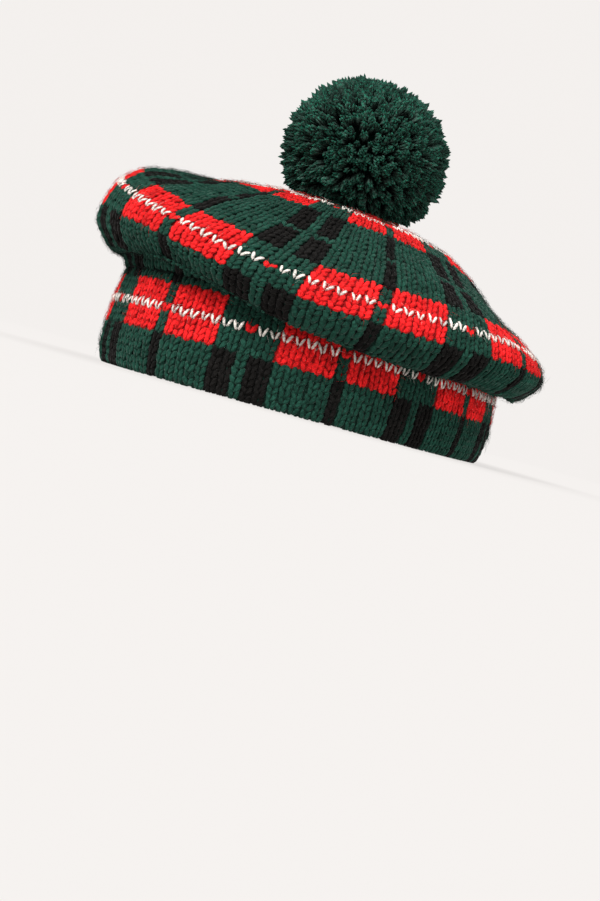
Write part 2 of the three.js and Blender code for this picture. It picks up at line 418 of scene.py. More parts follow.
knit = {
    "wales": 128,  # stitches in a round
    "barBearing": 277.75,  # the single dark column nearest the front, degrees
    "barColumn": 5,
    "uneven": 4.25,  # the knit is stretched unevenly round the head, degrees
    "settles": (15, 32),  # courses over which it evens out
    "skewCourse": [0, 14.5, 32.5, 50],  # the wales lean as they rise
    "skewDegrees": [-1.2, 1.2, 9, 10],
    "crownCourses": groundCourses + stripeCourses + groundCourses + stripeCourses + ["ground"] * 14,
    "sideCourses": 18,  # courses in the crown's side
    "laidCourses": 42,  # the pompom hides the rest
    "bandCourses": stripeCourses + ["ground"],
    "bandStripeUp": 18.4,  # where the band's stripe starts, from the rim along the fabric
    "bandCourse": 3.05,
    "bandUnder": 16,  # ground courses below the stripe, round the rim and up the inside
}


def waleBearing(wale, course):
    settled = 1 - smoothStep(course, *knit["settles"])
    stretch = knit["uneven"] * np.cos(2 * np.radians(wale - knit["barBearing"])) * settled
    return wale + stretch + np.interp(course, knit["skewCourse"], knit["skewDegrees"])


def waleAngle(number):
    return knit["barBearing"] + number * 360 / knit["wales"]


def yarnAt(kind, number):
    row = tartanChart[kind]
    return yarnOrder.index(row[(number + knit["barColumn"]) % len(row)])


print("shape and chart ready")


# Yarn materials

yarnLooks = {
    "green": {
        "colour": (0.0102, 0.0475, 0.0325),
        "sheen": (0.5, 0.66, 0.58),
        "sheenWeight": 0.12,
        "specular": 0.08,
    },
    "black": {
        "colour": (0.0062, 0.0056, 0.0052),
        "sheen": (0.5, 0.48, 0.46),
        "sheenWeight": 0.06,
        "specular": 0.08,
    },
    "red": {
        "colour": (0.7, 0.0145, 0.016),
        "sheen": (1.0, 0.4, 0.36),
        "sheenWeight": 0.08,
        "specular": 0.08,
    },
    "white": {
        "colour": (0.77, 0.72, 0.66),
        "sheen": (1.0, 1.0, 1.0),
        "sheenWeight": 0.15,
        "specular": 0.08,
    },
}

wool = {
    "ply": (2.6, 1.6),  # how often the twist shows round a stitch's yarn and along it
    "plyWander": 0.6,
    "fibre": (1250.0, 4.0),  # scale and detail of the noise
    "fibreFrom": (0.3, 0.7),
    "fibreShade": (0.62, 1.4),
    "patch": (130.0, 3.0),
    "patchShade": (0.68, 1.32),
    "relief": 0.7,
    "reliefDepth": 0.0004,
    "roughness": 0.92,
    "sheenRoughness": 0.3,
}


# Twisted plies from the yarn's own UV, loose fibre from noise, and each stitch its own tone.
def yarnMaterial(name, look, ply, roots=None):
    material, tree, shader = newMaterial(name)
    link = tree.links.new
    fibre = objectNoise(tree, *wool["fibre"])
    patch = objectNoise(tree, *wool["patch"])
    own = addNode(tree, "ShaderNodeUVMap", uv_map="yarnUV")
    stretch = addNode(tree, "ShaderNodeMapping")
    stretch.inputs["Scale"].default_value = (*ply, 1)
    link(own.outputs["UV"], stretch.inputs["Vector"])
    twist = addNode(tree, "ShaderNodeTexWave", bands_direction="DIAGONAL", Scale=1.0,
                    Distortion=wool["plyWander"])
    link(stretch.outputs["Vector"], twist.inputs["Vector"])
    tone = addNode(tree, "ShaderNodeAttribute", attribute_name="tone").outputs["Fac"]
    shade = mapRange(tree, fibre, wool["fibreFrom"], wool["fibreShade"])
    wide = mapRange(tree, patch, (0, 1), wool["patchShade"])
    value = multiply(tree, multiply(tree, shade, wide), tone)
    dye = addNode(tree, "ShaderNodeHueSaturation")
    dye.inputs["Color"].default_value = (*look["colour"], 1)
    # painted shade at the tufts' roots and a painted highlight at their tips
    if roots:
        depth, strand = paintedRootShades(tree, own.outputs["UV"], tone, roots)
        value = multiply(tree, multiply(tree, value, depth), strand)
        # painted shade: the deep, shaded part of a tuft loses its colour
        grey = mapRange(tree, depth, roots["rootPaintedShade"], roots["rootShadeSaturation"])
        link(grey, dye.inputs["Saturation"])  # the deep shade has little colour
    link(value, dye.inputs["Value"])
    link(dye.outputs["Color"], shader.inputs["Base Color"])
    relief = addNode(tree, "ShaderNodeMath", operation="ADD")
    link(fibre, relief.inputs[0])
    link(twist.outputs["Fac"], relief.inputs[1])
    addBump(tree, shader, relief.outputs["Value"], Strength=wool["relief"], Distance=wool["reliefDepth"])
    shader.inputs["Roughness"].default_value = wool["roughness"]
    shader.inputs["Specular IOR Level"].default_value = look["specular"]
    shader.inputs["Sheen Weight"].default_value = look["sheenWeight"]
    shader.inputs["Sheen Roughness"].default_value = wool["sheenRoughness"]
    shader.inputs["Sheen Tint"].default_value = (*look["sheen"], 1)
    return material


# Painted shade and highlight: a tuft is darker towards its root, where the pile shades it, and brighter at
# its tip; each of its strands has its own random tone.
def paintedRootShades(tree, uv, tone, spec):
    link = tree.links.new
    split = addNode(tree, "ShaderNodeSeparateXYZ")
    link(uv, split.inputs["Vector"])
    depth = mapRange(tree, split.outputs["Y"], spec["rootReach"], spec["rootPaintedShade"], "SMOOTHSTEP")
    across = addNode(tree, "ShaderNodeMath", operation="MULTIPLY")
    across.inputs[1].default_value = spec["strands"]
    link(split.outputs["X"], across.inputs[0])
    strand = addNode(tree, "ShaderNodeMath", operation="FLOOR")
    link(across.outputs["Value"], strand.inputs[0])
    pick = addNode(tree, "ShaderNodeMath", operation="MULTIPLY_ADD")
    pick.inputs[1].default_value = spec["shuffle"]
    link(tone, pick.inputs[0])
    link(strand.outputs["Value"], pick.inputs[2])
    chance = addNode(tree, "ShaderNodeTexWhiteNoise", noise_dimensions="1D")
    link(pick.outputs["Value"], chance.inputs["W"])
    return depth, mapRange(tree, chance.outputs["Value"], (0, 1), spec["strandShade"])


yarns = [yarnMaterial(f"{name}Yarn", look, wool["ply"]) for name, look in yarnLooks.items()]
print("yarn dyed")


# Shapes that repeat

def tubeInto(bm, uvLayer, path, radii, sides, uvLow, uvHigh):
    path = [Vector(p) for p in path]
    turns = [2 * math.pi * k / sides for k in range(sides)]
    rings = []
    for i, middle in enumerate(path):
        if radii[i] == 0:
            rings.append([bm.verts.new(middle)])
            continue
        run = (path[min(i + 1, len(path) - 1)] - path[max(i - 1, 0)]).normalized()
        steep = abs(run.z) >= 0.9
        side = run.cross(Vector((0, 1, 0) if steep else (0, 0, 1))).normalized()
        rise = side.cross(run)
        ways = [math.cos(t) * side + math.sin(t) * rise for t in turns]
        rings.append([bm.verts.new(middle + radii[i] * way) for way in ways])
    last = len(rings) - 1

    def spot(k, i):
        return uvLow + (uvHigh - uvLow) * k / sides, i / last

    for i in range(last):
        low, high = rings[i], rings[i + 1]
        for k in range(sides):
            j = (k + 1) % sides
            if len(low) == 1:
                corners = [low[0], high[j], high[k]]
                spots = [spot(k + 0.5, i), spot(k + 1, i + 1), spot(k, i + 1)]
            elif len(high) == 1:
                corners = [low[k], low[j], high[0]]
                spots = [spot(k, i), spot(k + 1, i), spot(k + 0.5, i + 1)]
            else:
                corners = [low[k], low[j], high[j], high[k]]
                spots = [spot(k, i), spot(k + 1, i), spot(k + 1, i + 1), spot(k, i + 1)]
            face = bm.faces.new(corners)
            face.smooth = True
            for loop, at in zip(face.loops, spots):
                loop[uvLayer].uv = at


# One closed mesh of several tubes, each with its own strip of the UV map.
def tubeMesh(name, tubes, sides, margin):
    bm = bmesh.new()
    uvLayer = bm.loops.layers.uv.new("yarnUV")
    share = 1 / len(tubes)
    for number, (path, radii) in enumerate(tubes):
        uvLow, uvHigh = (number + margin) * share, (number + (1 - margin)) * share
        tubeInto(bm, uvLayer, path, radii, sides, uvLow, uvHigh)
    bmesh.ops.recalc_face_normals(bm, faces=bm.faces)
    mesh = bpy.data.meshes.new(name)
    bm.to_mesh(mesh)
    bm.free()
    return mesh


def repeatShape(name, tubes, sides):
    mesh = tubeMesh(name, tubes, sides, margin=0.03)
    mesh.transform(Matrix.Scale(mm, 4))
    return bpy.data.objects.new(name, mesh)


# What each point carries for the shape that is laid on it: label, kind, field.
pointColumns = [
    ("turn", "QUATERNION", "value"),
    ("size", "FLOAT_VECTOR", "vector"),
    ("yarn", "INT", "value"),
    ("shape", "INT", "value"),
    ("tone", "FLOAT", "value"),
]


def pointCloud(place, turn, size, yarn, shape, tone):
    return {
        "place": np.array(place),
        "turn": np.array(turn, np.float32),
        "size": np.array(size, np.float32),
        "yarn": np.array(yarn, np.int32),
        "shape": np.array(shape, np.int32),
        "tone": np.array(tone, np.float32),
    }


# Lays a shape at every point, turned and sized by the point, and gives each its yarn.
def layingTree(name, shapes):
    tree = bpy.data.node_groups.new(name, "GeometryNodeTree")
    labels = [("Points", "Geometry"), ("Plumpness", "Float")]
    labels += [(f"Shape {i + 1}", "Object") for i in range(shapes)]
    labels += [(f"Yarn {i + 1}", "Material") for i in range(len(yarns))]
    sockets = {}
    for label, kind in labels:
        socket = tree.interface.new_socket(label, in_out="INPUT", socket_type=f"NodeSocket{kind}")
        sockets[label] = socket.identifier
    tree.interface.new_socket("Mesh", in_out="OUTPUT", socket_type="NodeSocketGeometry")
    link = tree.links.new
    start = addNode(tree, "NodeGroupInput")
    end = addNode(tree, "NodeGroupOutput")
    join = addNode(tree, "GeometryNodeJoinGeometry")
    for i in reversed(range(shapes)):
        info = addNode(tree, "GeometryNodeObjectInfo")
        info.inputs["As Instance"].default_value = True
        link(start.outputs[f"Shape {i + 1}"], info.inputs["Object"])
        link(info.outputs["Geometry"], join.inputs["Geometry"])
    read = {}
    for label, kind, field in pointColumns[:-1]:  # the tone is left to the material
        node = addNode(tree, "GeometryNodeInputNamedAttribute", data_type=kind)
        node.inputs["Name"].default_value = label
        read[label] = node.outputs["Attribute"]
    plump = addNode(tree, "ShaderNodeCombineXYZ", X=1.0, Y=1.0)
    link(start.outputs["Plumpness"], plump.inputs["Z"])
    size = addNode(tree, "ShaderNodeVectorMath", operation="MULTIPLY")
    link(read["size"], size.inputs[0])
    link(plump.outputs["Vector"], size.inputs[1])
    lay = addNode(tree, "GeometryNodeInstanceOnPoints")
    lay.inputs["Pick Instance"].default_value = True
    link(start.outputs["Points"], lay.inputs["Points"])
    link(join.outputs["Geometry"], lay.inputs["Instance"])
    link(read["shape"], lay.inputs["Instance Index"])
    link(read["turn"], lay.inputs["Rotation"])
    link(size.outputs["Vector"], lay.inputs["Scale"])
    real = addNode(tree, "GeometryNodeRealizeInstances")
    link(lay.outputs["Instances"], real.inputs["Geometry"])
    last = real.outputs["Geometry"]
    for i in range(len(yarns)):
        same = addNode(tree, "FunctionNodeCompare", data_type="INT", operation="EQUAL")
        link(read["yarn"], same.inputs[2])  # the whole-number sockets
        same.inputs[3].default_value = i
        dress = addNode(tree, "GeometryNodeSetMaterial")
        link(last, dress.inputs["Geometry"])
        link(same.outputs["Result"], dress.inputs["Selection"])
        link(start.outputs[f"Yarn {i + 1}"], dress.inputs["Material"])
        last = dress.outputs["Geometry"]
    link(last, end.inputs["Mesh"])
    return tree, sockets


def layShapes(name, cloud, shapes, dyes, plumpness=1.0):
    count = len(cloud["place"])
    points = bpy.data.meshes.new(name)
    points.from_pydata((cloud["place"] * mm + axisPlace).tolist(), [], [])
    for label, kind, field in pointColumns:
        column = points.attributes.new(label, kind, "POINT")
        column.data.foreach_set(field, np.ascontiguousarray(cloud[label]).ravel())
    piece = addObject(name, points)
    tree, sockets = layingTree(f"{name}Laying", len(shapes))
    modifier = piece.modifiers.new("laying", "NODES")
    modifier.node_group = tree
    modifier[sockets["Plumpness"]] = plumpness
    for i, shape in enumerate(shapes):
        modifier[sockets[f"Shape {i + 1}"]] = shape
    for i, dye in enumerate(dyes):
        modifier[sockets[f"Yarn {i + 1}"]] = dye
    view = bpy.context.evaluated_depsgraph_get()
    laid = piece.evaluated_get(view)
    mesh = bpy.data.meshes.new_from_object(laid, preserve_all_data_layers=True, depsgraph=view)
    piece.modifiers.clear()
    piece.data = mesh
    bpy.data.meshes.remove(points)
    mesh.name = name
    keepOnFloor(mesh)
    giveBakeCells(mesh, count)
    print(name, count, "laid,", sum(face.loop_total - 2 for face in mesh.polygons), "triangles")
    return piece


def keepOnFloor(mesh):
    spots = np.empty(len(mesh.vertices) * 3, np.float32)
    mesh.vertices.foreach_get("co", spots)
    spots[2::3] = np.maximum(spots[2::3], floorGap)
    mesh.vertices.foreach_set("co", spots)
    mesh.update()


# Every laid shape gets a cell of its own in the OFBake map.
def giveBakeCells(mesh, count):
    margin = 0.06
    own = np.empty(len(mesh.loops) * 2, np.float32)
    mesh.uv_layers["yarnUV"].data.foreach_get("uv", own)
    own = own.reshape(count, -1, 2)
    side = math.ceil(math.sqrt(count))
    cell = np.arange(count)
    corner = np.stack([cell % side, cell // side], 1)[:, None, :]
    cells = (corner + margin + (1 - 2 * margin) * own) / side
    mesh.uv_layers.new(name="OFBake").data.foreach_set("uv", cells.astype(np.float32).ravel())


# Knitted stitches

stitch = {
    "width": 4.7,  # the size that the legs below are drawn at, mm
    "height": 3.2,
    "sides": 5,
    "leg": [
        (0.48, -2.6, -0.9),
        (0.68, -1.45, 0.0),
        (1.1, 0.0, 0.3),
        (1.5, 1.45, 0.0),
        (1.68, 2.6, -0.95),
    ],
    "legRadius": [0, 0.94, 1.1, 0.94, 0],
    "thinLeg": [  # the white yarn is finer and lies on the stripe
        (0.35, -2.35, 0.0),
        (0.6, -1.45, 1.1),
        (1.08, 0.0, 1.5),
        (1.55, 1.45, 1.1),
        (1.78, 2.35, 0.0),
    ],
    "thinRadius": [0, 0.5, 0.6, 0.5, 0],
    "plumpness": 0.58,  # the legs are flatter than they are wide
    "bandLift": 0.0,  # the band's surface is the middle of its yarn
    "crownLift": 0.5,  # middle of the yarn above the middle of the fabric
    "wander": 0.15,  # how far a stitch strays, mm
    "sway": 6.0,  # how far it turns, degrees
    "growth": 0.07,  # how much the sizes differ
    "tone": 0.12,  # and the shades
    "toneRange": (0.65, 1.35),
    "seed": 11,
}


def stitchShape(spec, leg, radius):
    legs = [[(way * x, y, z) for x, y, z in spec[leg]] for way in (1, -1)]
    return repeatShape(leg, [(path, spec[radius]) for path in legs], spec["sides"])


def stitchFrames(surface, wale, along, lift, alongStep):
    waleStep = 360 / knit["wales"]
    turn, run = 0.1, 0.05  # small steps, to measure the slopes
    place = surface(wale, along, lift)
    across = (surface(wale + turn, along, lift) - surface(wale - turn, along, lift)) / (2 * turn) * waleStep
    up = (surface(wale, along + run, lift) - surface(wale, along - run, lift)) / (2 * run) * alongStep
    out = np.cross(across, up)
    out /= np.linalg.norm(out, axis=1, keepdims=True)
    height = np.linalg.norm(up, axis=1)
    up = up / height[:, None]
    side = np.cross(up, out)
    width = np.sum(across * side, axis=1)
    return place, side, up, out, width, height


def stitchCloud(spec, surface, rows, lift, alongStep, seed):
    rng = np.random.default_rng(seed)
    wales = knit["wales"]
    number = np.tile(np.arange(wales), len(rows))
    along = np.repeat([row for row, kind in rows], wales).astype(float)
    yarn = np.array([yarnAt(kind, j) for row, kind in rows for j in range(wales)])
    white = yarn == yarnOrder.index("w")
    count = len(number)
    lifts = np.full(count, lift)
    place, side, up, out, width, height = stitchFrames(surface, waleAngle(number), along, lifts, alongStep)
    place = place + rng.normal(0, spec["wander"], (count, 3))
    sway = np.radians(rng.normal(0, spec["sway"], count))
    turn = [tuple(Matrix((x, y, z)).transposed().to_quaternion() @ Quaternion((0, 0, 1), angle))
            for x, y, z, angle in zip(side, up, out, sway)]
    grow = rng.normal(1, spec["growth"], (count, 3))
    size = np.stack([width / spec["width"], height / spec["height"], np.ones(count)], 1) * grow
    tone = np.clip(rng.normal(1, spec["tone"], count), *spec["toneRange"])
    cloud = pointCloud(place, turn, size, yarn, white, tone)
    # each white stitch lies on one of the stripe
    under = {label: column[white] for label, column in cloud.items()}
    under["yarn"] = np.array([yarnAt("stripe", j) for j in number[white]], np.int32)
    under["shape"] = np.zeros_like(under["yarn"])
    return {label: np.concatenate([column, under[label]]) for label, column in cloud.items()}


pairs = [stitchShape(stitch, "leg", "legRadius"), stitchShape(stitch, "thinLeg", "thinRadius")]
bandKinds = ["ground"] * knit["bandUnder"] + knit["bandCourses"]
bandRows = [(knit["bandStripeUp"] + (k - knit["bandUnder"] + 0.5) * knit["bandCourse"], kind)
            for k, kind in enumerate(bandKinds)]
bandCloud = stitchCloud(stitch, bandAt, bandRows, stitch["bandLift"], knit["bandCourse"], stitch["seed"])
bandStitches = layShapes("band_stitches", bandCloud, pairs, yarns, stitch["plumpness"])

crownRows = [(k + 0.5, kind) for k, kind in enumerate(knit["crownCourses"])]
sideRows = crownRows[:knit["sideCourses"]]
topRows = crownRows[knit["sideCourses"]:knit["laidCourses"]]
sideCloud = stitchCloud(stitch, crownAt, sideRows, stitch["crownLift"], 1.0, stitch["seed"] + 1)
crownSideStitches = layShapes("crown_side_stitches", sideCloud, pairs, yarns, stitch["plumpness"])
topCloud = stitchCloud(stitch, crownAt, topRows, stitch["crownLift"], 1.0, stitch["seed"] + 2)
crownTopStitches = layShapes("crown_top_stitches", topCloud, pairs, yarns, stitch["plumpness"])


# Fabric behind the stitches

backing = {
    "around": 256,  # faces in a round
    "outerLift": 0.25,  # from the middle of the crown's fabric
    "innerLift": -1.2,
    "bandSink": -0.2,  # behind the middle of the band's yarn
    "sinkReach": (2, 6),  # it sinks over this stretch up from the rim, mm
    "rimLift": 0.6,  # the fabric shows between the stitches of the rim
    "rimReach": (0.5, 3),
    "topInset": 0.3,
    "seamRise": 0.9,  # the band's top edge is tucked into the crown
    # painted shade: the fabric between the stitches is drawn darker than its yarn, as the stitches shade
    # it, and the inside darker too
    "shade": 0.4,  # how dark the fabric is between the stitches
    "insideShade": 0.75,
    "fibre": (1500.0, 3.0),  # scale and detail of the noise
    "fibreShade": (0.6, 1.2),
    "purlUneven": 0.25,
    "relief": 0.8,
    "reliefDepth": 0.0012,
    "roughness": 0.95,
    "specular": 0.15,
}


# The chart's colours, darkened as painted shade in the rings, with rows of purl bumps.
def fabricMaterial(spec):
    material, tree, shader = newMaterial("knitBack")
    link = tree.links.new
    chart = addNode(tree, "ShaderNodeVertexColor", layer_name="shadedChartColour")
    shade = mapRange(tree, objectNoise(tree, *spec["fibre"]), (0, 1), spec["fibreShade"])
    dye = addNode(tree, "ShaderNodeHueSaturation")
    link(chart.outputs["Color"], dye.inputs["Color"])
    link(shade, dye.inputs["Value"])
    link(dye.outputs["Color"], shader.inputs["Base Color"])
    own = addNode(tree, "ShaderNodeUVMap", uv_map="stitchUV")
    purl = addNode(tree, "ShaderNodeTexVoronoi", Scale=1.0, Randomness=spec["purlUneven"])
    link(own.outputs["UV"], purl.inputs["Vector"])
    addBump(tree, shader, purl.outputs["Distance"], Strength=spec["relief"], Distance=spec["reliefDepth"],
            invert=True)
    shader.inputs["Roughness"].default_value = spec["roughness"]
    shader.inputs["Specular IOR Level"].default_value = spec["specular"]
    return material


# Rings of fabric, the last joined to the first, each in the chart's colours darkened by its painted shade.
def closedFabric(name, rings, kinds, paintedShades):
    around, rows = backing["around"], len(rings)
    perWale = around // knit["wales"]
    dyes = [np.array(look["colour"]) for look in yarnLooks.values()]
    faces, colours, uvs, cells = [], [], [], []
    for r in range(rows):
        up = (r + 1) % rows
        kind = "stripe" if kinds[r] == "line" else kinds[r]  # the white yarn lies on top
        for i in range(around):
            j = (i + 1) % around
            faces.append((r * around + i, r * around + j, up * around + j, up * around + i))
            colours.append((*dyes[yarnAt(kind, (i + perWale // 2) // perWale)] * paintedShades[r], 1))
            square = np.array([(i, r), (i + 1, r), (i + 1, r + 1), (i, r + 1)])
            uvs.append(square / (perWale, 1))
            cells.append(square / (around, rows))
    mesh = bpy.data.meshes.new(name)
    mesh.from_pydata((np.concatenate(rings) * mm + axisPlace).tolist(), [], faces, shade_flat=False)
    chart = mesh.color_attributes.new("shadedChartColour", "FLOAT_COLOR", "CORNER")
    chart.data.foreach_set("color", np.repeat(np.array(colours, np.float32), 4, axis=0).ravel())
    mesh.uv_layers.new(name="stitchUV").data.foreach_set("uv", np.array(uvs, np.float32).ravel())
    mesh.uv_layers.new(name="OFBake").data.foreach_set("uv", np.array(cells, np.float32).ravel())
    mesh.materials.append(fabric)
    keepOnFloor(mesh)
    print(name, len(faces) * 2, "triangles")
    return addObject(name, mesh)


def waleGrid():
    perWale = backing["around"] // knit["wales"]
    return waleAngle((np.arange(backing["around"]) - perWale / 2) / perWale)


def bandFabric(spec):
    wale = waleGrid()
    same = np.ones_like(wale)
    half = knit["bandCourse"] / 2
    starts = [row - half for row, kind in bandRows]
    steps = [start + half * k for start in starts for k in (0, 1)]
    edges = [e for e in steps if bandReach[0] < e < bandReach[-1]] + [bandReach[-1] - spec["topInset"]]
    rings = []
    for e in edges:
        sink = spec["bandSink"] * smoothStep(abs(e), *spec["sinkReach"])  # none at the rim
        rim = spec["rimLift"] * (1 - smoothStep(abs(e), *spec["rimReach"]))
        rings.append(bandAt(wale, e * same, (sink + rim) * same))
    rings[-1][:, 2] += spec["seamRise"]
    nudge = 0.1  # an edge takes the kind of the course that starts there
    kinds = [bandRows[max(np.searchsorted(starts, e + nudge) - 1, 0)][1] for e in edges]
    # painted shade between the stitches
    return closedFabric("band_fabric", rings, kinds, [spec["shade"]] * len(edges))


def crownFabric(spec):
    wale = waleGrid()
    same = np.ones_like(wale)
    courses = np.arange(0, len(knit["crownCourses"]) + 1)
    outer = [crownAt(wale, c * same, spec["outerLift"] * same) for c in courses]
    inner = [crownAt(wale, c * same, spec["innerLift"] * same) for c in courses[::-1]]
    kinds = knit["crownCourses"] + ["ground"] + knit["crownCourses"][::-1] + ["ground"]
    # painted shade: darker outside, between the stitches, than inside
    paintedShades = [spec["shade"]] * len(outer) + [spec["insideShade"]] * len(inner)
    return closedFabric("crown_fabric", outer + inner, kinds, paintedShades)


fabric = fabricMaterial(backing)
bandBack = bandFabric(backing)
crownBack = crownFabric(backing)


# Pompom: tufts of cut yarn round a heart painted in deep shade

pompom = {
    "radius": 41.5,  # to the longest tufts, mm
    "flatten": 0.91,
    "seatDrop": 33,  # from its middle to the crown
    "seatGap": 1.2,
    "root": 14,  # where the tufts start, from the middle
    "pressed": 0.25,  # the shortest that a tuft is pressed to
    "tufts": 2300,
    "tuftJitter": 0.02,
    "tuftWidth": 0.12,  # how much the widths differ
    "clumps": 480,  # the tufts cling together in these
    "clumpJitter": 0.035,
    "gather": 0.5,  # how far a clump closes at its tip
    "clumpDrop": 60,  # how much shorter its outer tufts are
    "clumpLean": 0.07,
    "clumpUneven": 1.5,  # mm
    "lumps": 1.6,  # how far the trimmed ball is from round, mm
    "waves": 5,  # swells over the ball
    "waveTurn": 2.4,
    "uneven": 0.8,
    "flow": 0.1,  # how far neighbouring clumps lean together
    "stray": 0.06,
    "clumpTone": 0.2,  # how much the shades differ
    "tuftTone": 0.18,
    "toneRange": (0.5, 1.6),
    "seed": 23,
}

tuft = {
    "kinds": 6,
    "reach": 24,  # the length that a tuft is drawn at
    "strands": 6,  # one in the middle, the others round it
    "sides": 3,
    "radius": [0, 0.5, 0.74, 0],
    "spread": [(0, 0.4), (0.6, 0.85), (0.95, 1.0)],  # how far apart the strands are along the tuft
    "fray": (0.25, 0.7),  # and at its end
    "apart": (0.8, 1.3),  # mm
    "shorter": (0.9, 0.99),  # length of the strands round the middle one
    "bend": (0.02, 0.2),
    "twist": 1.3,
    "ply": (4.0, 6.0),
    # painted shade at the root of each strand and a painted highlight at its tip
    "rootReach": (0.4, 0.95),  # along a strand, from dark to bright
    "rootPaintedShade": (0.14, 1.25),
    "rootShadeSaturation": (0.3, 1.0),
    "strandShade": (0.55, 1.45),
    "shuffle": 977.0,  # spreads the strands' shades
    "look": {
        "colour": (0.0092, 0.09, 0.056),
        "sheen": (0.3, 0.6, 0.5),
        "sheenWeight": 0.04,
        "specular": 0.06,
    },
}


def tuftShapes(spec, seed):
    rng = np.random.default_rng(seed)
    shapes = []
    for number in range(spec["kinds"]):
        bend = rng.uniform(*spec["bend"])
        strands = []
        for k in range(spec["strands"]):
            turn = 2 * math.pi * k / (spec["strands"] - 1) + number
            apart = 0 if k == 0 else rng.uniform(*spec["apart"])
            length = spec["reach"] * (1 if k == 0 else rng.uniform(*spec["shorter"]))
            frayed = rng.uniform(*spec["fray"])
            path = []
            for along, wide in [*spec["spread"], (1.0, frayed)]:
                twist = turn + spec["twist"] * along
                out = apart * wide
                side = bend * spec["reach"] * along * along
                path.append((out * math.cos(twist) + side, out * math.sin(twist), along * length))
            strands.append((path, spec["radius"]))
        shapes.append(repeatShape(f"tuft{number}", strands, spec["sides"]))
    return shapes


def spreadOnBall(count, rng, jitter):
    golden = math.pi * (3 - math.sqrt(5))
    order = np.arange(count)
    rise = 1 - 2 * (order + 0.5) / count
    ring = np.sqrt(1 - rise * rise)
    ways = np.stack([ring * np.cos(order * golden), ring * np.sin(order * golden), rise], 1)
    ways += rng.normal(0, jitter, ways.shape)
    return ways / np.linalg.norm(ways, axis=1, keepdims=True)


def pompomCentre(spec):
    x = (pompomLow.x + pompomHigh.x) / 2 - hatCentre.x
    y = (pompomLow.y + pompomHigh.y) / 2 - hatCentre.y
    return np.array([x, y, pompomLow.z]) / mm + np.array([0, 0, spec["seatDrop"]])


def pompomCloud(spec, middle):
    rng = np.random.default_rng(spec["seed"])
    waves = rng.normal(0, spec["waveTurn"], (spec["waves"], 3))
    pulls = rng.normal(0, 1, (spec["waves"], 3))
    clumps = spreadOnBall(spec["clumps"], rng, spec["clumpJitter"])
    clumpLeans = rng.normal(0, spec["clumpLean"], clumps.shape)
    clumpDrops = np.abs(rng.normal(0, spec["clumpUneven"], len(clumps)))
    clumpTones = rng.normal(1, spec["clumpTone"], len(clumps))
    seat = spec["seatGap"] - spec["seatDrop"]
    squash = np.array([1, 1, spec["flatten"]])
    place, turn, size, tone, shape = [], [], [], [], []
    for way in spreadOnBall(spec["tufts"], rng, spec["tuftJitter"]):
        own = np.argmax(clumps @ way)
        aside = clumps[own] - way
        swell = np.sin(waves @ way)
        lean = swell @ pulls * spec["flow"] / len(waves) ** 0.5 + clumpLeans[own] + aside * spec["gather"]
        lean += rng.normal(0, spec["stray"], 3)
        tip = spec["radius"] - spec["lumps"] * (1 + swell[0]) / 2 - clumpDrops[own]
        tip -= spec["clumpDrop"] * (aside @ aside) + abs(rng.normal(0, spec["uneven"]))
        point = (way + lean) / np.linalg.norm(way + lean)
        base = spec["root"] * way * squash
        reach = (tip - spec["root"]) * point * squash
        if base[2] + reach[2] < seat:  # tufts below the seat are pressed against the crown
            reach *= max(spec["pressed"], (seat - base[2]) / reach[2])
        facing = Vector(reach).to_track_quat("Z", "Y")
        place.append(middle + base)
        turn.append(tuple(facing @ Quaternion((0, 0, 1), rng.uniform(0, 2 * math.pi))))
        wide = rng.normal(1, spec["tuftWidth"])
        size.append((wide, wide, np.linalg.norm(reach) / tuft["reach"]))
        tone.append(np.clip(clumpTones[own] * rng.normal(1, spec["tuftTone"]), *spec["toneRange"]))
        shape.append(int(rng.integers(0, tuft["kinds"])))
    return pointCloud(place, turn, size, [0] * len(place), shape, tone)


pompomMiddle = pompomCentre(pompom)
pompomYarn = yarnMaterial("pompomYarn", tuft["look"], tuft["ply"], roots=tuft)
endsCloud = pompomCloud(pompom, pompomMiddle)
tufts = tuftShapes(tuft, pompom["seed"] + 2)
pompomEnds = layShapes("pompom_ends", endsCloud, tufts, [pompomYarn] * len(yarns))

heartShape = {
    "radius": 28,
    "subdivisions": 5,
    "swells": 9,
    "swellTurn": 0.28,
    "swellDepth": 0.06,
    "seatGap": 0.6,
    "strands": (700.0, 4.0),  # scale and detail of the noise
    # painted shade: the heart is far darker than the yarn, standing for the shade deep among the tufts
    "dark": (0.0006, 0.004, 0.003, 1),
    "light": (0.003, 0.02, 0.013, 1),
    "relief": 0.8,
    "reliefDepth": 0.001,
    "roughness": 0.95,
    "seed": 24,
}


# Painted shade: a dark core that shows between the tufts.
def heartMaterial(spec):
    material, tree, shader = newMaterial("pompomShade")
    strands = objectNoise(tree, *spec["strands"])
    ramp = addNode(tree, "ShaderNodeValToRGB")
    ramp.color_ramp.elements[0].color = spec["dark"]
    ramp.color_ramp.elements[1].color = spec["light"]
    tree.links.new(strands, ramp.inputs["Fac"])
    tree.links.new(ramp.outputs["Color"], shader.inputs["Base Color"])
    addBump(tree, shader, strands, Strength=spec["relief"], Distance=spec["reliefDepth"])
    shader.inputs["Roughness"].default_value = spec["roughness"]
    shader.inputs["Specular IOR Level"].default_value = 0.0
    return material


